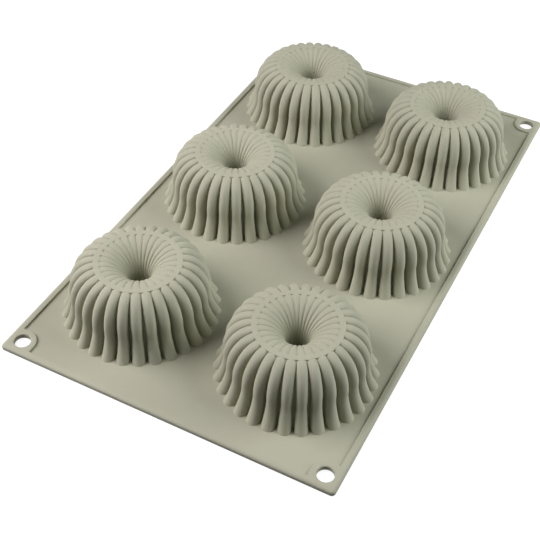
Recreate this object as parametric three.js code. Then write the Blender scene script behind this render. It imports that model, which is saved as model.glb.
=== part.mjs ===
// Silicone mould for six fluted ring cakes, standing as it is stored: cups up, mouths on the table.
// Millimetres, +Z up, +Y along the long side. The origin is the middle of the underside.
import * as THREE from 'three';
import { mergeVertices } from 'three/addons/utils/BufferGeometryUtils.js';

// Sheet and rim; the margins are the bare sheet and rim outside the feet of the outermost cups
const SIDE_MARGIN = 5.8;
const END_MARGIN = 15.3;
const CORNER_RADIUS = 2;
const SHEET_THICKNESS = 1.5;
const RIM_WIDTH = 3.5;
const RIM_RISE = 1;
const RIM_ROUND = 1.8;

// Corner eyelets: the hole's centre lies the same distance in from both edges
const EYELET_INSET = 7.5;
const EYELET_HOLE_RADIUS = 4;
const EYELET_PAD_RADIUS = 7;

// Cup layout: the bare sheet between the feet of neighbouring cups
const COLUMN_GAP = 6.6;
const ROW_GAP = 17.1;

// Cup wall, from the foot on the sheet to the land's outer edge; radii are those of the rib crests
const CUP_HEIGHT = 33.1;
const FOOT_RADIUS = 39.2;
const WAIST_RADIUS = 34.3;
const WAIST_HEIGHT = 15.7;
const SKIRT_BEND_HEIGHT = 10.7;
const FLARE_RUN = 2.2;
const FLARE_HEIGHT = 5.2;
const WALL = 1.4;

// Ribs: the slots between them are deepest from the waist down and shallow at the land
const RIB_COUNT = 30;
const RIB_DEPTH = 4.8;
const RIB_START_DEPTH = 1;
const RIB_FADE = 1.6;

// How far the silicone fills a rib from behind, as a share of the rib's depth
const RIB_BACKING = 0.25;

// A rib's or a flute's section from slot to slot: the share of its turn, and of the slot's depth
const RIB_SECTION = [
  { turn: 0, valley: 1 },
  { turn: 0.26, valley: 0 },
  { turn: 0.74, valley: 0 },
];

// Core: the flat ring land, and the trumpet-shaped funnel inside it with its closed tip
const LAND_OUTER_RADIUS = 21.4;
const LAND_WIDTH = 2.9;
const THROAT_RADIUS = 5;
const THROAT_HEIGHT = 17.7;
const TIP_DRAFT = 0.8;
const TIP_HEIGHT = 8;
const FLUTE_DEPTH = 0.7;

// Facets: how far along each curve its outline has a point, from 0 at the curve's start to 1 at its end
const SKIRT_STEP = 0.5;
const SHOULDER_STEPS = [0, 0.35, 0.7, 1];
const CAVITY_STEPS = [1, 0.55, 0];
const FUNNEL_STEPS = [0, 0.45, 1];
const FUNNEL_BACK_STEP = 0.5;
const HOLE_SEGMENTS = 6;
const ROUND_SEGMENTS = 4;
const MERGE_DISTANCE = 1e-4;

// Silicone, grey-green, with a satin skin
const SILICONE_COLOUR = 0xaeab93;
const SILICONE_ROUGHNESS = 0.62;

// The cups set the pitches, and the pitches and margins set the tray
const COLUMN_PITCH = 2 * FOOT_RADIUS + COLUMN_GAP;
const ROW_PITCH = 2 * FOOT_RADIUS + ROW_GAP;
const TRAY_WIDTH = COLUMN_PITCH + 2 * (FOOT_RADIUS + SIDE_MARGIN);
const TRAY_LENGTH = 2 * (ROW_PITCH + FOOT_RADIUS + END_MARGIN);
const LAND_INNER_RADIUS = LAND_OUTER_RADIUS - LAND_WIDTH;
const TIP_RADIUS = THROAT_RADIUS - TIP_DRAFT;

const QUARTER_TURN = Math.PI / 2;
const halfWidth = TRAY_WIDTH / 2;
const halfLength = TRAY_LENGTH / 2;
const flexLine = ROW_PITCH / 2;
const padReach = EYELET_INSET + EYELET_PAD_RADIUS;

const columns = [
  { name: 'left', side: -1 },
  { name: 'right', side: 1 },
];
const rows = [
  { name: 'front', place: -1, from: -halfLength, to: -flexLine },
  { name: 'middle', place: 0, from: -flexLine, to: flexLine },
  { name: 'back', place: 1, from: flexLine, to: halfLength },
];

const mould = new THREE.Group();

function addPiece(name, geometry) {
  geometry.deleteAttribute('normal');
  geometry.deleteAttribute('uv');
  const closed = mergeVertices(geometry, MERGE_DISTANCE);
  closed.computeVertexNormals();
  const silicone = new THREE.MeshStandardMaterial({
    color: SILICONE_COLOUR,
    roughness: SILICONE_ROUGHNESS,
    metalness: 0,
  });
  const mesh = new THREE.Mesh(closed, silicone);
  mesh.name = name;
  mould.add(mesh);
  return mesh;
}

// The wall's outline at a rib crest: a skirt that flares to the foot, then a shoulder over to the land
const foot = new THREE.Vector2(FOOT_RADIUS, SHEET_THICKNESS);
const waist = new THREE.Vector2(WAIST_RADIUS, WAIST_HEIGHT);
const flare = new THREE.Vector2(FOOT_RADIUS - FLARE_RUN, FLARE_HEIGHT);
const skirtBend = new THREE.Vector2(WAIST_RADIUS, SKIRT_BEND_HEIGHT);
const skirt = new THREE.CubicBezierCurve(foot, flare, skirtBend, waist);
const shoulder = new THREE.EllipseCurve(
  LAND_OUTER_RADIUS,
  WAIST_HEIGHT,
  WAIST_RADIUS - LAND_OUTER_RADIUS,
  CUP_HEIGHT - WAIST_HEIGHT,
  0,
  QUARTER_TURN,
);

// The funnel's outline, from the land's inner edge down to the throat
const funnel = new THREE.EllipseCurve(
  LAND_INNER_RADIUS,
  THROAT_HEIGHT,
  LAND_INNER_RADIUS - THROAT_RADIUS,
  CUP_HEIGHT - THROAT_HEIGHT,
  QUARTER_TURN,
  Math.PI,
);

// A point of an ellipse arc, sunk below the surface on the outside of the ellipse
function sunkArc(arc, t, depth) {
  const angle = THREE.MathUtils.lerp(arc.aStartAngle, arc.aEndAngle, t);
  const outward = new THREE.Vector2(Math.cos(angle) / arc.xRadius, Math.sin(angle) / arc.yRadius);
  return arc.getPoint(t).addScaledVector(outward.normalize(), -depth);
}

// A point of the skirt, sunk towards the cavity
function sunkSkirt(t, depth) {
  const along = skirt.getTangent(t);
  return skirt.getPoint(t).add(new THREE.Vector2(-along.y, along.x).multiplyScalar(depth));
}

// The foot stands on the sheet, so there a depth is measured along the sheet
function sunkFoot(depth) {
  const along = skirt.getTangent(0);
  return new THREE.Vector2(FOOT_RADIUS - depth / along.y, SHEET_THICKNESS);
}

// The wall's closed outline, with every point of the outside sunk by a share of the rib's depth
function wallOutline(valley) {
  const cavity = THREE.MathUtils.lerp(RIB_BACKING, 1, valley);
  const ribDepth = (t) => RIB_START_DEPTH + (RIB_DEPTH - RIB_START_DEPTH) * (1 - t ** RIB_FADE);
  const outside = [
    sunkFoot(valley * RIB_DEPTH),
    sunkSkirt(SKIRT_STEP, valley * RIB_DEPTH),
    ...SHOULDER_STEPS.map((t) => sunkArc(shoulder, t, valley * ribDepth(t))),
  ];
  const inside = [
    ...CAVITY_STEPS.map((t) => sunkArc(shoulder, t, cavity * ribDepth(t) + WALL)),
    sunkFoot(cavity * RIB_DEPTH + WALL),
  ];
  return [...outside, ...inside, outside[0]];
}

// The core's outline from the tip's underside, out to the land and back down the funnel to the tip
function coreOutline(valley) {
  const fluteDepth = (t) => valley * FLUTE_DEPTH * Math.sin(Math.PI * t);
  const underside = [
    new THREE.Vector2(0, TIP_HEIGHT),
    new THREE.Vector2(TIP_RADIUS + WALL, TIP_HEIGHT),
    sunkArc(funnel, FUNNEL_BACK_STEP, WALL + FLUTE_DEPTH),
  ];
  const land = [
    new THREE.Vector2(LAND_OUTER_RADIUS, CUP_HEIGHT - WALL),
    new THREE.Vector2(LAND_OUTER_RADIUS, CUP_HEIGHT),
  ];
  const top = [
    ...FUNNEL_STEPS.map((t) => sunkArc(funnel, t, fluteDepth(t))),
    new THREE.Vector2(TIP_RADIUS, TIP_HEIGHT + WALL),
    new THREE.Vector2(0, TIP_HEIGHT + WALL),
  ];
  return [...underside, ...land, ...top];
}

// The angle of one point of a section, in one of the ribs
function sectionAngle(rib, place) {
  return (2 * Math.PI * (rib + place.turn)) / RIB_COUNT;
}

// A turned solid whose outline goes through the section, from slot to slot, once in every rib
function fluted(outlineAt) {
  const outlines = RIB_SECTION.map((place) => outlineAt(place.valley));
  const meridians = RIB_COUNT * RIB_SECTION.length;
  const geometry = new THREE.LatheGeometry(outlines[0], meridians);
  const position = geometry.getAttribute('position');
  for (let meridian = 0; meridian <= meridians; meridian += 1) {
    const step = meridian % RIB_SECTION.length;
    const angle = sectionAngle((meridian - step) / RIB_SECTION.length, RIB_SECTION[step]);
    outlines[step].forEach((point, index) => {
      const x = point.x * Math.sin(angle);
      const z = point.x * Math.cos(angle);
      position.setXYZ(meridian * outlines[step].length + index, x, point.y, z);
    });
  }
  return geometry.rotateX(QUARTER_TURN);
}

// A cup's mouth in the sheet, which follows the inside of the wall's foot
function mouthHole(centreX, centreY) {
  const hole = new THREE.Path();
  const points = [];
  for (let rib = 0; rib < RIB_COUNT; rib += 1) {
    RIB_SECTION.forEach((place) => {
      const angle = sectionAngle(rib, place) - QUARTER_TURN;
      const cavity = THREE.MathUtils.lerp(RIB_BACKING, 1, place.valley);
      const radius = sunkFoot(cavity * RIB_DEPTH + WALL).x;
      const x = centreX + radius * Math.cos(angle);
      const y = centreY + radius * Math.sin(angle);
      points.push(new THREE.Vector2(x, y));
    });
  }
  return hole.setFromPoints(points);
}

function eyeletHole(centreX, centreY) {
  const hole = new THREE.Path();
  hole.absarc(centreX, centreY, EYELET_HOLE_RADIUS, 0, 2 * Math.PI, true);
  return hole;
}

// One row's stretch of the sheet, with two mouths, and two eyelet holes where it ends the tray
function sheetSection(row) {
  const outline = new THREE.Shape();
  const roundFront = row.place < 0 ? CORNER_RADIUS : 0;
  const roundBack = row.place > 0 ? CORNER_RADIUS : 0;
  outline.moveTo(-halfWidth + roundFront, row.from);
  outline.lineTo(halfWidth - roundFront, row.from);
  if (roundFront > 0) {
    outline.absarc(halfWidth - roundFront, row.from + roundFront, roundFront, -QUARTER_TURN, 0);
  }
  outline.lineTo(halfWidth, row.to - roundBack);
  if (roundBack > 0) {
    outline.absarc(halfWidth - roundBack, row.to - roundBack, roundBack, 0, QUARTER_TURN);
  }
  outline.lineTo(-halfWidth + roundBack, row.to);
  if (roundBack > 0) {
    outline.absarc(-halfWidth + roundBack, row.to - roundBack, roundBack, QUARTER_TURN, Math.PI);
  }
  outline.lineTo(-halfWidth, row.from + roundFront);
  if (roundFront > 0) {
    outline.absarc(-halfWidth + roundFront, row.from + roundFront, roundFront, Math.PI, 3 * QUARTER_TURN);
  }
  columns.forEach((column) => {
    outline.holes.push(mouthHole((column.side * COLUMN_PITCH) / 2, row.place * ROW_PITCH));
    if (row.place !== 0) {
      const x = column.side * (halfWidth - EYELET_INSET);
      const y = row.place * (halfLength - EYELET_INSET);
      outline.holes.push(eyeletHole(x, y));
    }
  });
  return new THREE.ExtrudeGeometry(outline, {
    depth: SHEET_THICKNESS,
    bevelEnabled: false,
    curveSegments: HOLE_SEGMENTS,
  });
}

// The rim's section, which rises in a quarter round from the outer edge at the right
function rimSection() {
  const section = new THREE.Shape();
  section.moveTo(-RIM_WIDTH, 0);
  section.lineTo(0, 0);
  section.absellipse(-RIM_ROUND, 0, RIM_ROUND, RIM_RISE, 0, QUARTER_TURN);
  section.lineTo(-RIM_WIDTH, RIM_RISE);
  return section;
}

// A straight stretch of rim that runs along +Y from the origin, with its outer side towards +X
function rimStretch(length) {
  const geometry = new THREE.ExtrudeGeometry(rimSection(), {
    depth: length,
    bevelEnabled: false,
    curveSegments: ROUND_SEGMENTS,
  });
  return geometry.rotateX(QUARTER_TURN).translate(0, length, 0);
}

function addSideRims(row) {
  const from = row.place < 0 ? row.from + padReach : row.from;
  const to = row.place > 0 ? row.to - padReach : row.to;
  columns.forEach((column) => {
    const rim = addPiece(`${column.name}_${row.name}_rim`, rimStretch(to - from));
    const turned = column.side < 0;
    rim.rotation.z = turned ? Math.PI : 0;
    rim.position.set(column.side * halfWidth, turned ? to : from, SHEET_THICKNESS);
  });
}

function addEndRim(row) {
  const length = TRAY_WIDTH - 2 * padReach;
  const rim = addPiece(`${row.name}_rim`, rimStretch(length));
  rim.rotation.z = row.place * QUARTER_TURN;
  rim.position.set((row.place * length) / 2, row.place * halfLength, SHEET_THICKNESS);
}

// A pad with its outer corner at the origin and its body towards -X and -Y, round the hole on the inside
function eyeletPad() {
  const pad = new THREE.Shape();
  pad.moveTo(-padReach, 0);
  pad.lineTo(-padReach, -EYELET_INSET);
  pad.absarc(-EYELET_INSET, -EYELET_INSET, EYELET_PAD_RADIUS, Math.PI, 3 * QUARTER_TURN);
  pad.lineTo(0, -padReach);
  pad.lineTo(0, -CORNER_RADIUS);
  pad.absarc(-CORNER_RADIUS, -CORNER_RADIUS, CORNER_RADIUS, 0, QUARTER_TURN);
  pad.holes.push(eyeletHole(-EYELET_INSET, -EYELET_INSET));
  return new THREE.ExtrudeGeometry(pad, {
    depth: RIM_RISE,
    bevelEnabled: false,
    curveSegments: HOLE_SEGMENTS,
  });
}

// Each corner's pad is the same piece, turned to face the middle of the tray
function addEyelets(row) {
  columns.forEach((column) => {
    const eyelet = addPiece(`${row.name}_${column.name}_eyelet`, eyeletPad());
    const quarterTurns = row.place > 0 ? (1 - column.side) / 2 : (column.side - 1) / 2 - 1;
    eyelet.rotation.z = quarterTurns * QUARTER_TURN;
    eyelet.position.set(column.side * halfWidth, row.place * halfLength, SHEET_THICKNESS);
  });
}

function addCups(row) {
  columns.forEach((column) => {
    const name = `${row.name}_${column.name}_cup`;
    const wall = addPiece(`${name}_wall`, fluted(wallOutline));
    const core = addPiece(`${name}_core`, fluted(coreOutline));
    wall.position.set((column.side * COLUMN_PITCH) / 2, row.place * ROW_PITCH, 0);
    core.position.copy(wall.position);
  });
}

rows.forEach((row) => {
  addPiece(`${row.name}_sheet`, sheetSection(row));
  addSideRims(row);
  if (row.place !== 0) {
    addEndRim(row);
    addEyelets(row);
  }
  addCups(row);
});

export default mould;
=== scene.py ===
import math

import bmesh
import bpy
from mathutils import Matrix, Vector


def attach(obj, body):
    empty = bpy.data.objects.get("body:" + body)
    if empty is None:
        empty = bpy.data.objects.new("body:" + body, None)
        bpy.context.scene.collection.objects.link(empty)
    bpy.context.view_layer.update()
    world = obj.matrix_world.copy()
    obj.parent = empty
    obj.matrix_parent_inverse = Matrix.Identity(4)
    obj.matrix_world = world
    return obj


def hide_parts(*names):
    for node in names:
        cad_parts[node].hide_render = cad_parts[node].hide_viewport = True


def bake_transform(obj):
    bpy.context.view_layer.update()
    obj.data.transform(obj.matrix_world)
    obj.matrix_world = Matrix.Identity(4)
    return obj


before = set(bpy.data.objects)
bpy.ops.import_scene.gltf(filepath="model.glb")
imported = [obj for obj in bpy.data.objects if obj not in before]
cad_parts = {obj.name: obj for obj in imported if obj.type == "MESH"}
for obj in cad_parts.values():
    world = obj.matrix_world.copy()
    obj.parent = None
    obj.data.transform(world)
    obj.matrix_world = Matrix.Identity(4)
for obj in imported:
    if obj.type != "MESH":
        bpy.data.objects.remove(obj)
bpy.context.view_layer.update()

# Sizes are millimetres and are scaled to metres when a piece is finished
MM = 0.001

# Tray: half its outline, the sheet, and the raised rim with its eyelet pads
HALF_WIDTH = 87.5
HALF_LENGTH = 150.0
CORNER_RADIUS = 2.0
SHEET_TOP = 1.5
RIM_TOP = 2.5
RIM_WIDTH = 3.5
EYELET_INSET = 7.5
EYELET_RADIUS = 4.0
PAD_RADIUS = 7.0

# Roundings of the tray's edges; the rim's has a run and a rise
RIM_ROUND = (1.8, 1.2)
BASE_ROUND = 0.25
STEP_ROUND = 0.35
STEP_DRAFT = 0.05
HOLE_ROUND = 0.45

# Segments round the tray's corners, pads and holes, and steps round its edges
CORNER_SEGMENTS = 8
PAD_SEGMENTS = 20
EYELET_SEGMENTS = 64
RIM_STEPS = 8
BASE_STEPS = 3
EDGE_STEPS = 4

# Where the sheet is cut across between the rows, and how many cuts it has there
FLEX_FROM = 56.2
FLEX_TO = 46.6
FLEX_CUTS = 14

# Cups: places, and the outline of a rib crest from the foot to the land
COLUMN_PITCH = 85.0
ROW_PITCH = 95.5
CUP_TOP = 33.1
FOOT_RADIUS = 39.2
FLARE = (37.0, 5.2)
SKIRT_BEND_HEIGHT = 10.7
WAIST_RADIUS = 34.3
WAIST_HEIGHT = 15.7
WALL = 1.4
LAND_OUTER = 21.4
LAND_INNER = 18.5
LAND_EDGE = 0.06
LAND_STRIP = 0.18

# Ribs: how deep the slots between them are, and how the depth fades from the waist to the land
RIB_COUNT = 30
RIB_DEPTH = 4.8
LAND_RIB_DEPTH = 0.8
RIB_FADE = 1.1
RIB_DRAFT = 0.04
RIB_BACKING = 0.25

# The share of the pitch that a rib takes; near the land it is widest and has a round end
FOOT_BREADTH = 0.85
WAIST_BREADTH = 0.74
SHOULDER_BREADTH = 0.96
RIB_END_BREADTH = 0.82
RIB_END_FROM = 0.88
RIB_BROADENING = 0.85

# Flutes down the funnel: a dimple at the land, then a slot that fades towards the throat
DIMPLE_DEPTH = 0.55
FLUTE_DEPTH = 0.41
THROAT_FLUTE_DEPTH = 0.22
DIMPLE_LENGTH = 0.08
FLUTE_FADE_FROM = 0.5

# The share of the pitch between two flutes' slots, which narrows from one place down the funnel to another
DIMPLE_BREADTH = 0.82
FLUTE_BREADTH = 0.86
DEEP_FLUTE_BREADTH = 0.8
NARROWS_FROM = 0.2
NARROWS_TO = 0.6

# Funnel, with its closed tip, and how soon the flutes show on its back below the land
THROAT_RADIUS = 5.0
THROAT_HEIGHT = 17.7
TIP_RADIUS = 4.2
TIP_HEIGHT = 8.0
TIP_ROUND = 1.2
TIP_FLOOR_ROUND = 1.0
BACK_WAVE_FADE = 6

# How the cup's foot stands in the sheet; it runs on from the skirt's last stretch
FOOT_SUNK = 0.8
NEAR_FOOT = 0.96
SLEEVE_INSET = 0.6
LIP_ROUND = 0.5

# Points round a rib, the breadth that spaces them on a plain ring, and points along each curve of the cup
STEPS_PER_RIB = 14
PLAIN_BREADTH = 0.9
SHOULDER_POINTS = 26
SKIRT_POINTS = 16
CAVITY_POINTS = 14
FUNNEL_POINTS = 26
CORE_BACK_POINTS = 12
THROAT_STATIONS = (0.35, 0.7)

# Edges sharper than this aren't shaded over; points nearer than the slacks count as level or as one
SHARP_ANGLE = math.radians(40.0)
LEVEL_SLACK = 1e-3
MERGE_SLACK = 1e-4

ROWS = (("front", -1), ("middle", 0), ("back", 1))
COLUMNS = (("left", -1), ("right", 1))
CORNERS = ((-1, -1), (1, -1), (1, 1), (-1, 1))


def link_node(tree, kind, **inputs):
    """Adds a shader node and sets or links its named inputs."""
    node = tree.nodes.new(kind)
    for key, value in inputs.items():
        socket = node.inputs[key.replace("_", " ")]
        if hasattr(value, "is_output"):
            tree.links.new(value, socket)
        else:
            socket.default_value = value
    return node


def silicone_finish():
    """The moulded skin: slow tint drift, fine mottling and the grain that the mould leaves."""
    mottle_share = 0.45
    tint_from = 0.45
    tint_to = 1.0
    group = bpy.data.node_groups.new("moulded_silicone_skin", "ShaderNodeTree")
    face = group.interface
    for name in ("Tint", "Shade"):
        face.new_socket(name, in_out="INPUT", socket_type="NodeSocketColor")
    for name in ("Drift Size", "Mottle Size", "Grain Size", "Satin", "Satin Spread"):
        face.new_socket(name, in_out="INPUT", socket_type="NodeSocketFloat")
    face.new_socket("Colour", in_out="OUTPUT", socket_type="NodeSocketColor")
    face.new_socket("Roughness", in_out="OUTPUT", socket_type="NodeSocketFloat")
    face.new_socket("Grain", in_out="OUTPUT", socket_type="NodeSocketFloat")

    nodes = group.nodes
    given = nodes.new("NodeGroupInput").outputs
    out = nodes.new("NodeGroupOutput")
    place = nodes.new("ShaderNodeTexCoord").outputs["Object"]

    def noise(size_name, detail):
        texture = link_node(group, "ShaderNodeTexNoise", Vector=place, Scale=given[size_name], Detail=detail)
        return texture.outputs["Fac"]

    drift = noise("Drift Size", 2.0)
    mottle = noise("Mottle Size", 4.0)
    grain = noise("Grain Size", 3.0)

    both = nodes.new("ShaderNodeMath")
    both.operation = "MULTIPLY_ADD"
    group.links.new(mottle, both.inputs[0])
    both.inputs[1].default_value = mottle_share
    group.links.new(drift, both.inputs[2])
    spread = link_node(group, "ShaderNodeMapRange", Value=both.outputs[0],
                       From_Min=tint_from, From_Max=tint_to)

    tint = nodes.new("ShaderNodeMix")
    tint.data_type = "RGBA"
    group.links.new(spread.outputs[0], tint.inputs["Factor"])
    group.links.new(given["Tint"], tint.inputs["A"])
    group.links.new(given["Shade"], tint.inputs["B"])
    group.links.new(tint.outputs["Result"], out.inputs["Colour"])

    satin = nodes.new("ShaderNodeMath")
    satin.operation = "MULTIPLY_ADD"
    group.links.new(mottle, satin.inputs[0])
    group.links.new(given["Satin Spread"], satin.inputs[1])
    group.links.new(given["Satin"], satin.inputs[2])
    group.links.new(satin.outputs[0], out.inputs["Roughness"])
    group.links.new(grain, out.inputs["Grain"])
    return group


def silicone_material():
    """Grey-green silicone with a satin skin."""
    material = bpy.data.materials.new("sage_silicone")
    material.use_nodes = True
    tree = material.node_tree
    shader = tree.nodes["Principled BSDF"]
    skin = tree.nodes.new("ShaderNodeGroup")
    skin.node_tree = silicone_finish()
    skin.inputs["Tint"].default_value = (0.432, 0.432, 0.322, 1.0)
    skin.inputs["Shade"].default_value = (0.397, 0.397, 0.296, 1.0)
    skin.inputs["Drift Size"].default_value = 14.0
    skin.inputs["Mottle Size"].default_value = 160.0
    skin.inputs["Grain Size"].default_value = 1900.0
    skin.inputs["Satin"].default_value = 0.48
    skin.inputs["Satin Spread"].default_value = 0.14
    tree.links.new(skin.outputs["Colour"], shader.inputs["Base Color"])
    tree.links.new(skin.outputs["Roughness"], shader.inputs["Roughness"])
    grain = link_node(tree, "ShaderNodeBump", Strength=0.12, Distance=0.0001, Height=skin.outputs["Grain"])
    tree.links.new(grain.outputs["Normal"], shader.inputs["Normal"])
    shader.inputs["IOR"].default_value = 1.41
    shader.inputs["Specular IOR Level"].default_value = 0.12
    return material


def finish_piece(name, bm, material):
    """Scales a piece to metres, shades it and gives it the silicone."""
    bmesh.ops.scale(bm, vec=(MM, MM, MM), verts=bm.verts)
    mesh = bpy.data.meshes.new(name)
    bm.to_mesh(mesh)
    bm.free()
    mesh.shade_smooth()
    mesh.set_sharp_from_angle(angle=SHARP_ANGLE)
    mesh.materials.append(material)
    piece = bpy.data.objects.new(name, mesh)
    bpy.context.scene.collection.objects.link(piece)
    return piece


def mix(start, end, share):
    """A value that lies between two others."""
    return start + (end - start) * share


def shares(count, first=0.0, last=1.0):
    """Evenly spaced values from the first to the last."""
    return [mix(first, last, step / (count - 1)) for step in range(count)]


def rib_section(angle, radius, depth, breadth):
    """Moves a point round the cup into a rib's section: its new angle, and how far it sinks.

    A rib has a round crest, steep flanks and a flat slot on each side. A breadth of 0 gives a soft wave.
    """
    turn = angle * RIB_COUNT / (2.0 * math.pi)
    rib = round(turn)
    across = 2.0 * (turn - rib)
    if breadth == 0.0:
        return angle, depth * (0.5 - 0.5 * math.cos(math.pi * across))
    half = breadth * radius * math.pi / RIB_COUNT
    crown = min(depth, half)
    arc_steps = STEPS_PER_RIB // 2 - 2
    step = round(abs(across) * STEPS_PER_RIB / 2)
    arc = math.pi / 2.0 * min(1.0, step / arc_steps)
    reach = breadth * math.sin(arc)
    sink = crown * (1.0 - math.cos(arc))
    if step > arc_steps:
        reach = min(1.0, breadth + RIB_DRAFT)
        sink = depth
    if step > arc_steps + 1:
        reach = 1.0
    return (rib + math.copysign(reach, across) / 2.0) * 2.0 * math.pi / RIB_COUNT, sink


def arc_point(centre, radii, degrees, depth):
    """A point of an ellipse, sunk below it by a depth."""
    turn = math.radians(degrees)
    out = Vector((math.cos(turn) / radii[0], math.sin(turn) / radii[1])).normalized()
    on_arc = Vector((centre[0] + radii[0] * math.cos(turn), centre[1] + radii[1] * math.sin(turn)))
    return on_arc - out * depth


def skirt_point(t, depth):
    """A point of the skirt from the waist at 0 to the foot at 1, set back level by a depth of wall."""
    ends = [Vector((WAIST_RADIUS, WAIST_HEIGHT)), Vector((WAIST_RADIUS, SKIRT_BEND_HEIGHT)),
            Vector(FLARE), Vector((FOOT_RADIUS, SHEET_TOP))]
    s = 1.0 - t
    on_curve = ends[0] * s ** 3 + ends[1] * 3 * s * s * t + ends[2] * 3 * s * t * t + ends[3] * t ** 3
    along = (ends[1] - ends[0]) * s * s + (ends[2] - ends[1]) * 2 * s * t + (ends[3] - ends[2]) * t * t
    return on_curve - Vector((depth * math.hypot(1.0, along.x / along.y), 0.0))


# Centres and radii of the two quarter ellipses: waist to land, and land to throat
SHOULDER = ((LAND_OUTER, WAIST_HEIGHT), (WAIST_RADIUS - LAND_OUTER, CUP_TOP - WAIST_HEIGHT))
FUNNEL = ((LAND_INNER, THROAT_HEIGHT), (LAND_INNER - THROAT_RADIUS, CUP_TOP - THROAT_HEIGHT))


def shoulder_point(t, depth):
    """A point of the shoulder from the waist at 0 to the land at 1."""
    return arc_point(*SHOULDER, 90.0 * t, depth)


def funnel_point(t, depth):
    """A point of the funnel from the land at 0 to the throat at 1."""
    return arc_point(*FUNNEL, 90.0 + 90.0 * t, depth)


def shoulder_depth(t):
    """Rib depth over the shoulder, from the waist at 0 to the land at 1."""
    return mix(RIB_DEPTH, LAND_RIB_DEPTH, t ** RIB_FADE)


def shoulder_breadth(t):
    """Share of the pitch that a rib takes over the shoulder."""
    if t > RIB_END_FROM:
        past = (t - RIB_END_FROM) / (1.0 - RIB_END_FROM)
        return mix(SHOULDER_BREADTH, RIB_END_BREADTH, past ** 2)
    return mix(WAIST_BREADTH, SHOULDER_BREADTH, (t / RIB_END_FROM) ** RIB_BROADENING)


def skirt_breadth(t):
    """Share of the pitch that a rib takes from the waist at 0 to the foot at 1."""
    return mix(WAIST_BREADTH, FOOT_BREADTH, t)


def dimple(t):
    """How much of the dimple is left down the funnel, from 1 at the land."""
    return max(0.0, 1.0 - t / DIMPLE_LENGTH) ** 2


def flute_depth(t):
    """Flute depth down the funnel, from the land at 0 to the throat at 1."""
    fade = max(0.0, (t - FLUTE_FADE_FROM) / (1.0 - FLUTE_FADE_FROM))
    return (FLUTE_DEPTH + (DIMPLE_DEPTH - FLUTE_DEPTH) * dimple(t)
            + (THROAT_FLUTE_DEPTH - FLUTE_DEPTH) * fade)


def flute_breadth(t):
    """Share of the pitch between the flutes' slots."""
    deep = min(1.0, max(0.0, (t - NARROWS_FROM) / (NARROWS_TO - NARROWS_FROM)))
    return (FLUTE_BREADTH + (DIMPLE_BREADTH - FLUTE_BREADTH) * dimple(t)
            + (DEEP_FLUTE_BREADTH - FLUTE_BREADTH) * deep)


def quarter_points(centre, radius, degrees):
    """Points of a round edge about a centre, at angles from level."""
    turns = [math.radians(angle) for angle in degrees]
    return [Vector((centre[0] + radius * math.cos(a), centre[1] + radius * math.sin(a))) for a in turns]


def wall_outline():
    """The cup wall's closed outline: (crest, valley, breadth) for each point."""
    outline = []

    def add(crest, valley, breadth):
        outline.append((crest, valley, breadth))

    foot = skirt_point(1.0, 0.0)
    run = foot - skirt_point(NEAR_FOOT, 0.0)
    sunk_foot = foot + run * (FOOT_SUNK / abs(run.y))
    inward = skirt_point(1.0, RIB_DEPTH) - foot
    add(sunk_foot, sunk_foot + inward, FOOT_BREADTH)
    for t in shares(SKIRT_POINTS, 1.0, 0.0):
        add(skirt_point(t, 0.0), skirt_point(t, RIB_DEPTH), skirt_breadth(t))
    for t in shares(SHOULDER_POINTS)[1:]:
        add(shoulder_point(t, 0.0), shoulder_point(t, shoulder_depth(t)), shoulder_breadth(t))
    for t in shares(CAVITY_POINTS, 1.0, 0.0):
        crest = shoulder_point(t, WALL + RIB_BACKING * shoulder_depth(t))
        add(crest, shoulder_point(t, WALL + shoulder_depth(t)), 0.0)
    for t in shares(CAVITY_POINTS)[1:]:
        add(skirt_point(t, WALL + RIB_BACKING * RIB_DEPTH), skirt_point(t, WALL + RIB_DEPTH), 0.0)
    lip = skirt_point(1.0, WALL + RIB_BACKING * RIB_DEPTH)
    groove = Vector((skirt_point(1.0, WALL + RIB_DEPTH).x - lip.x, 0.0))
    for crest in quarter_points((lip.x + LIP_ROUND, LIP_ROUND), LIP_ROUND, (180.0, 225.0, 270.0)):
        add(crest, crest + groove, 0.0)
    for height in (0.0, sunk_foot.y):
        crest = Vector((FOOT_RADIUS - SLEEVE_INSET, height))
        add(crest, crest + inward, FOOT_BREADTH)
    return outline


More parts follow.
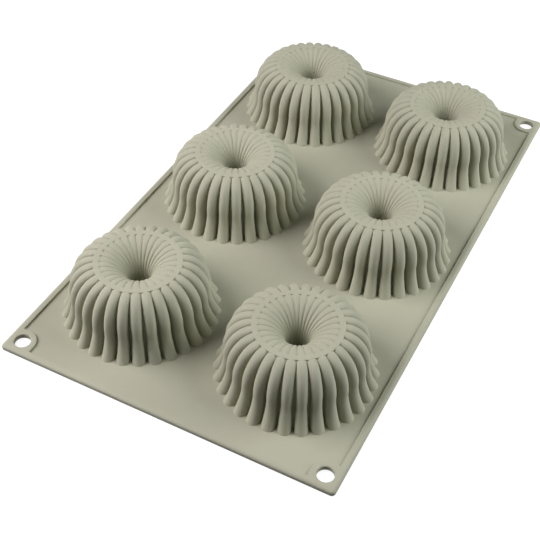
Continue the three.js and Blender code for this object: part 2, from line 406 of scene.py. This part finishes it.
def core_outline():
    """The core's outline from the tip's underside over the land and back down the funnel."""
    outline = []

    def add(crest, valley=None, breadth=PLAIN_BREADTH):
        outline.append((crest, valley or crest, breadth))

    back = TIP_RADIUS + WALL
    add(Vector((0.0, TIP_HEIGHT)))
    tip_edge = (back - TIP_ROUND, TIP_HEIGHT + TIP_ROUND)
    for crest in quarter_points(tip_edge, TIP_ROUND, (-90.0, -60.0, -30.0, 0.0)):
        add(crest)
    for t in shares(CORE_BACK_POINTS, 1.0, 0.0):
        wave = flute_depth(t) * (1.0 - (1.0 - t) ** BACK_WAVE_FADE)
        add(funnel_point(t, WALL), funnel_point(t, WALL + wave), 0.0)
    add(Vector((LAND_OUTER, CUP_TOP - WALL)))
    land_edge = (LAND_OUTER - LAND_EDGE, CUP_TOP - LAND_EDGE)
    for crest in quarter_points(land_edge, LAND_EDGE, (0.0, 45.0, 90.0)):
        add(crest)
    add(Vector((LAND_OUTER - LAND_STRIP, CUP_TOP)))
    add(Vector((LAND_INNER + LAND_STRIP, CUP_TOP)))
    for t in shares(FUNNEL_POINTS):
        add(funnel_point(t, 0.0), funnel_point(t, flute_depth(t)), flute_breadth(t))
    floor_height = TIP_HEIGHT + WALL
    for t in THROAT_STATIONS:
        crest = Vector((mix(THROAT_RADIUS, TIP_RADIUS, t), mix(THROAT_HEIGHT, floor_height, t)))
        add(crest, crest + Vector((THROAT_FLUTE_DEPTH * (1.0 - t), 0.0)))
    hollow = (TIP_RADIUS - TIP_FLOOR_ROUND, floor_height + TIP_FLOOR_ROUND)
    for crest in quarter_points(hollow, TIP_FLOOR_ROUND, (0.0, -30.0, -60.0, -90.0)):
        add(crest)
    add(Vector((0.0, floor_height)))
    return outline


def turn_fluted(outline, closed):
    """Spins an outline about Z, then sinks it between the ribs."""
    bm = bmesh.new()
    sink = bm.verts.layers.float_vector.new("sink")
    points = []
    for crest, valley, breadth in outline:
        point = bm.verts.new((crest.x, 0.0, crest.y))
        point[sink] = (valley.x - crest.x, breadth, valley.y - crest.y)
        points.append(point)
    edges = [bm.edges.new(pair) for pair in zip(points, points[1:])]
    if closed:
        edges.append(bm.edges.new((points[-1], points[0])))
    bmesh.ops.spin(bm, geom=points + edges, axis=(0.0, 0.0, 1.0), cent=(0.0, 0.0, 0.0),
                   angle=2.0 * math.pi, steps=RIB_COUNT * STEPS_PER_RIB, use_merge=True)
    bmesh.ops.remove_doubles(bm, verts=bm.verts, dist=MERGE_SLACK)
    for point in bm.verts:
        radius = math.hypot(point.co.x, point.co.y)
        if radius < LEVEL_SLACK:
            continue
        across, breadth, down = point[sink]
        depth = math.hypot(across, down)
        angle, sunk = rib_section(math.atan2(point.co.y, point.co.x), radius, depth, breadth)
        share = sunk / depth if depth > 0.0 else 0.0
        reach = radius + share * across
        point.co = Vector((reach * math.cos(angle), reach * math.sin(angle), point.co.z + share * down))
    bmesh.ops.recalc_face_normals(bm, faces=bm.faces)
    bm.verts.layers.float_vector.remove(sink)
    return bm


def quarter_round(run, rise, count, from_top=False):
    """Steps (run, rise) round a quarter of an ellipse, from its side to its top or back from its top."""
    turns = [math.pi / 2.0 * step / count for step in range(count + 1)]
    steps = [(run * (math.cos(a) - math.cos(b)), rise * (math.sin(b) - math.sin(a)))
             for a, b in zip(turns, turns[1:])]
    return steps[::-1] if from_top else steps


def terrace(bm, face, steps):
    """Insets a face again and again, so that its edge gets the given (run, rise) steps."""
    for run, rise in steps:
        bmesh.ops.inset_region(bm, faces=[face], thickness=run, depth=0.0,
                               use_even_offset=True, use_boundary=True)
        bmesh.ops.translate(bm, verts=face.verts, vec=(0.0, 0.0, rise))
    return face


def open_face(bm, face):
    """Takes a face away and gives its edges back."""
    edges = list(face.edges)
    bmesh.ops.delete(bm, geom=[face], context="FACES_ONLY")
    return edges


def fill_level(bm, height, up):
    """Closes the flat at one height between all the open edges that lie there."""
    edges = [edge for edge in bm.edges
             if edge.is_boundary and all(abs(point.co.z - height) < LEVEL_SLACK for point in edge.verts)]
    bmesh.ops.triangle_fill(bm, edges=edges, use_beauty=True, normal=(0.0, 0.0, 1.0 if up else -1.0))


def rounded_face(bm, corners, height, rounded, radius, segments):
    """A flat face whose chosen corners are rounded."""
    points = [bm.verts.new((x, y, height)) for x, y in corners]
    bm.faces.new(points).normal_update()
    made = bmesh.ops.bevel(bm, geom=[points[index] for index in rounded], affect="VERTICES",
                           offset=radius, offset_type="OFFSET", segments=segments, profile=0.5,
                           material=-1, clamp_overlap=False)
    return made["verts"][0].link_faces[0]


def mouth_edges(bm, centre, height):
    """A cup's mouth in the sheet, scalloped like the wall's foot."""
    ring = bmesh.ops.create_circle(bm, cap_ends=False, segments=RIB_COUNT * STEPS_PER_RIB,
                                   radius=1.0)["verts"]
    depth = FOOT_RADIUS - skirt_point(1.0, RIB_DEPTH).x
    for point in ring:
        angle, sunk = rib_section(math.atan2(point.co.y, point.co.x), FOOT_RADIUS, depth, FOOT_BREADTH)
        reach = FOOT_RADIUS - SLEEVE_INSET - sunk
        point.co = (centre[0] + reach * math.cos(angle), centre[1] + reach * math.sin(angle), height)
    return list({edge for point in ring for edge in point.link_edges})


def drop(bm, edges, height):
    """Extrudes a loop of edges straight down to a height."""
    for item in bmesh.ops.extrude_edge_only(bm, edges=edges)["geom"]:
        if isinstance(item, bmesh.types.BMVert):
            item.co.z = height


def add_slab(bm):
    """The tray's outline with its round outer edges, open at the top and underneath."""
    outline = [(sx * HALF_WIDTH, sy * HALF_LENGTH) for sx, sy in CORNERS]
    base = rounded_face(bm, outline, BASE_ROUND, range(len(outline)), CORNER_RADIUS, CORNER_SEGMENTS)
    made = bmesh.ops.extrude_face_region(bm, geom=[base], use_keep_orig=True)["geom"]
    top = [item for item in made if isinstance(item, bmesh.types.BMFace)][0]
    bmesh.ops.translate(bm, verts=top.verts, vec=(0.0, 0.0, RIM_TOP - RIM_ROUND[1] - BASE_ROUND))
    terrace(bm, top, quarter_round(*RIM_ROUND, RIM_STEPS))
    terrace(bm, base, quarter_round(BASE_ROUND, -BASE_ROUND, BASE_STEPS))
    open_face(bm, top)
    open_face(bm, base)


def add_recess(bm):
    """The step from the rim and the eyelet pads down to the sheet."""
    near = RIM_WIDTH - STEP_ROUND
    reach = EYELET_INSET + PAD_RADIUS - STEP_ROUND
    outline = []
    pad_corners = []
    for sx, sy in CORNERS:
        along_side = (sx * (HALF_WIDTH - near), sy * (HALF_LENGTH - reach))
        pad_corner = (sx * (HALF_WIDTH - reach), sy * (HALF_LENGTH - reach))
        along_end = (sx * (HALF_WIDTH - reach), sy * (HALF_LENGTH - near))
        turn = [along_side, pad_corner, along_end]
        outline += turn if sx * sy > 0 else turn[::-1]
        pad_corners.append(outline.index(pad_corner))
    recess = rounded_face(bm, outline, RIM_TOP, pad_corners, PAD_RADIUS, PAD_SEGMENTS)
    upright = (STEP_DRAFT, SHEET_TOP - RIM_TOP + 2.0 * STEP_ROUND)
    terrace(bm, recess, [*quarter_round(STEP_ROUND, -STEP_ROUND, EDGE_STEPS, from_top=True), upright,
                         *quarter_round(STEP_ROUND, -STEP_ROUND, EDGE_STEPS)])
    open_face(bm, recess)


def add_eyelet_holes(bm):
    """The four round holes in the pads, with round upper edges."""
    for sx, sy in CORNERS:
        centre = (sx * (HALF_WIDTH - EYELET_INSET), sy * (HALF_LENGTH - EYELET_INSET), RIM_TOP)
        disc = bmesh.ops.create_circle(bm, cap_ends=True, segments=EYELET_SEGMENTS,
                                       radius=EYELET_RADIUS + HOLE_ROUND,
                                       matrix=Matrix.Translation(centre))["verts"]
        hole = disc[0].link_faces[0]
        terrace(bm, hole, quarter_round(HOLE_ROUND, -HOLE_ROUND, EDGE_STEPS, from_top=True))
        drop(bm, open_face(bm, hole), 0.0)


def tray_solid():
    """The whole tray without its cups: sheet, rim, eyelet pads, holes and mouths."""
    bm = bmesh.new()
    add_slab(bm)
    add_recess(bm)
    add_eyelet_holes(bm)
    for _, row in ROWS:
        for _, column in COLUMNS:
            centre = (column * COLUMN_PITCH / 2.0, row * ROW_PITCH)
            drop(bm, mouth_edges(bm, centre, SHEET_TOP), 0.0)
    fill_level(bm, RIM_TOP, True)
    fill_level(bm, SHEET_TOP, True)
    fill_level(bm, 0.0, False)
    bmesh.ops.recalc_face_normals(bm, faces=bm.faces)

    for cut in shares(FLEX_CUTS, FLEX_FROM, FLEX_TO):
        everything = bm.verts[:] + bm.edges[:] + bm.faces[:]
        bmesh.ops.bisect_plane(bm, geom=everything, dist=LEVEL_SLACK, plane_co=(0.0, -cut, 0.0),
                               plane_no=(0.0, 1.0, 0.0))
    return bm


def half_tray(side):
    """The tray's front half, cut off across the middle, or its mirror image for the back."""
    bm = tray_solid()
    everything = bm.verts[:] + bm.edges[:] + bm.faces[:]
    cut = bmesh.ops.bisect_plane(bm, geom=everything, dist=LEVEL_SLACK, plane_co=(0.0, 0.0, 0.0),
                                 plane_no=(0.0, 1.0, 0.0), clear_outer=True)["geom_cut"]
    seam = [item for item in cut if isinstance(item, bmesh.types.BMEdge)]
    bmesh.ops.edgeloop_fill(bm, edges=seam)
    bmesh.ops.scale(bm, vec=(1.0, -side, 1.0), verts=bm.verts)
    bmesh.ops.recalc_face_normals(bm, faces=bm.faces)
    return bm


silicone = silicone_material()

for row_name, side in (("front", -1), ("back", 1)):
    sheet = finish_piece(f"{row_name}_half_sheet", half_tray(side), silicone)
    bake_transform(sheet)
    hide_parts(f"{row_name}_sheet", f"{row_name}_rim",
                f"left_{row_name}_rim", f"right_{row_name}_rim",
                f"{row_name}_left_eyelet", f"{row_name}_right_eyelet",
                "middle_sheet", "left_middle_rim", "right_middle_rim")

cup_wall = turn_fluted(wall_outline(), closed=True)
cup_core = turn_fluted(core_outline(), closed=False)
for row_name, row in ROWS:
    for column_name, column in COLUMNS:
        cup = f"{row_name}_{column_name}"
        spot = Vector((column * COLUMN_PITCH / 2.0, row * ROW_PITCH, 0.0))
        for part, form in (("wall", cup_wall), ("core", cup_core)):
            bm = form.copy()
            bmesh.ops.translate(bm, verts=bm.verts, vec=spot)
            piece = finish_piece(f"{cup}_{part}_skin", bm, silicone)
            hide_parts(f"{cup}_cup_{part}")
            if part == "core":
                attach(piece, f"{cup}_core")
            else:
                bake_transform(piece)
cup_wall.free()
cup_core.free()


# Camera at the photograph's angle, in metres
CAMERA_AZIMUTH = math.radians(26.33)
CAMERA_ELEVATION = math.radians(44.45)
CAMERA_ROLL = math.radians(1.58)
CAMERA_TARGET = Vector((0.00036, -0.04071, -0.0003))
CAMERA_DISTANCE = 0.53086
FOCAL_PIXELS = 1025.28
IMAGE_PIXELS = 540.0
SENSOR = 36.0

backwards = Vector((math.sin(CAMERA_AZIMUTH) * math.cos(CAMERA_ELEVATION),
                    -math.cos(CAMERA_AZIMUTH) * math.cos(CAMERA_ELEVATION), math.sin(CAMERA_ELEVATION)))
level = Vector((0.0, 0.0, 1.0)).cross(backwards).normalized()
upright = backwards.cross(level)
right = level * math.cos(CAMERA_ROLL) + upright * math.sin(CAMERA_ROLL)
above = upright * math.cos(CAMERA_ROLL) - level * math.sin(CAMERA_ROLL)
camera_data = bpy.data.cameras.new("photo_camera")
camera_data.sensor_width = SENSOR
camera_data.lens = FOCAL_PIXELS / IMAGE_PIXELS * SENSOR
camera_data.clip_start = 0.01
camera_data.clip_end = 50.0
camera = bpy.data.objects.new("photo_camera", camera_data)
camera_turn = Matrix((right, above, backwards)).transposed().to_4x4()
camera.matrix_world = Matrix.Translation(CAMERA_TARGET + backwards * CAMERA_DISTANCE) @ camera_turn
bpy.context.scene.collection.objects.link(camera)
bpy.context.scene.camera = camera


def soft_light(name, azimuth, elevation, distance, size, watts, colour):
    """A round softbox, turned to the middle of the tray, at an angle from +X and a height angle."""
    turn = math.radians(azimuth)
    rise = math.radians(elevation)
    towards = Vector((math.cos(turn) * math.cos(rise), math.sin(turn) * math.cos(rise), math.sin(rise)))
    data = bpy.data.lights.new(name, "AREA")
    data.shape = "DISK"
    data.size = size
    data.energy = watts
    data.color = colour
    lamp = bpy.data.objects.new(name, data)
    lamp.location = towards * distance
    lamp.rotation_euler = (-towards).to_track_quat("-Z", "Y").to_euler()
    bpy.context.scene.collection.objects.link(lamp)


soft_light("softbox_left", 208.0, 40.0, distance=0.72, size=0.6, watts=5.95, colour=(1.04, 1.0, 1.06))
soft_light("softbox_right", 20.0, 33.0, distance=0.66, size=0.6, watts=4.2, colour=(0.975, 1.0, 1.03))
soft_light("front_fill", 296.0, 20.0, distance=2.0, size=0.75, watts=0.9, colour=(1.0, 1.0, 1.0))


# Surroundings: what lights the object, and what the camera and reflections see
WHITE = (1.0, 1.0, 1.0, 1.0)
AMBIENT_LIGHT = 0.01
BACKDROP_LIGHT = 1.0
FLOOR_BOUNCE = (0.12, 0.12, 0.12, 1.0)
FLOOR_SHADE = (0.24, 0.24, 0.24, 1.0)
FLOOR_GLOW = 0.87
FLOOR_REACH = 4.0
FLOOR_DROP = 0.0002


def seen_mask(tree):
    """1 for rays that show the background: straight, mirrored or through glass."""
    path = tree.nodes.new("ShaderNodeLightPath")
    either = tree.nodes.new("ShaderNodeMath")
    either.operation = "MAXIMUM"
    tree.links.new(path.outputs["Is Camera Ray"], either.inputs[0])
    tree.links.new(path.outputs["Is Glossy Ray"], either.inputs[1])
    any_of = tree.nodes.new("ShaderNodeMath")
    any_of.operation = "MAXIMUM"
    tree.links.new(either.outputs[0], any_of.inputs[0])
    tree.links.new(path.outputs["Is Transmission Ray"], any_of.inputs[1])
    return any_of.outputs[0]


def show_or_light(tree, lighting, seen, output):
    """Gives a surface one shader for light on the object and another for what is seen."""
    pick = tree.nodes.new("ShaderNodeMixShader")
    tree.links.new(seen_mask(tree), pick.inputs["Fac"])
    tree.links.new(lighting.outputs[0], pick.inputs[1])
    tree.links.new(seen.outputs[0], pick.inputs[2])
    tree.links.new(pick.outputs[0], tree.nodes[output].inputs["Surface"])


world = bpy.data.worlds.new("studio")
bpy.context.scene.world = world
world.use_nodes = True
ambient = world.node_tree.nodes["Background"]
ambient.inputs["Color"].default_value = WHITE
ambient.inputs["Strength"].default_value = AMBIENT_LIGHT
backdrop = link_node(world.node_tree, "ShaderNodeBackground", Color=WHITE, Strength=BACKDROP_LIGHT)
show_or_light(world.node_tree, ambient, backdrop, "World Output")

floor_paint = bpy.data.materials.new("pale_floor")
floor_paint.use_nodes = True
floor_tree = floor_paint.node_tree
floor_tree.nodes.remove(floor_tree.nodes["Principled BSDF"])
bounce = link_node(floor_tree, "ShaderNodeBsdfDiffuse", Color=FLOOR_BOUNCE)
shade = link_node(floor_tree, "ShaderNodeBsdfDiffuse", Color=FLOOR_SHADE)
glow = link_node(floor_tree, "ShaderNodeEmission", Strength=FLOOR_GLOW)
pale = floor_tree.nodes.new("ShaderNodeAddShader")
floor_tree.links.new(shade.outputs[0], pale.inputs[0])
floor_tree.links.new(glow.outputs[0], pale.inputs[1])
show_or_light(floor_tree, bounce, pale, "Material Output")

floor_form = bmesh.new()
bmesh.ops.create_grid(floor_form, x_segments=1, y_segments=1, size=FLOOR_REACH)
bmesh.ops.translate(floor_form, verts=floor_form.verts, vec=(0.0, 0.0, -FLOOR_DROP))
floor_mesh = bpy.data.meshes.new("floor")
floor_form.to_mesh(floor_mesh)
floor_form.free()
floor_mesh.materials.append(floor_paint)
floor = bpy.data.objects.new("floor", floor_mesh)
bpy.context.scene.collection.objects.link(floor)

bpy.context.scene.view_settings.view_transform = "Standard"
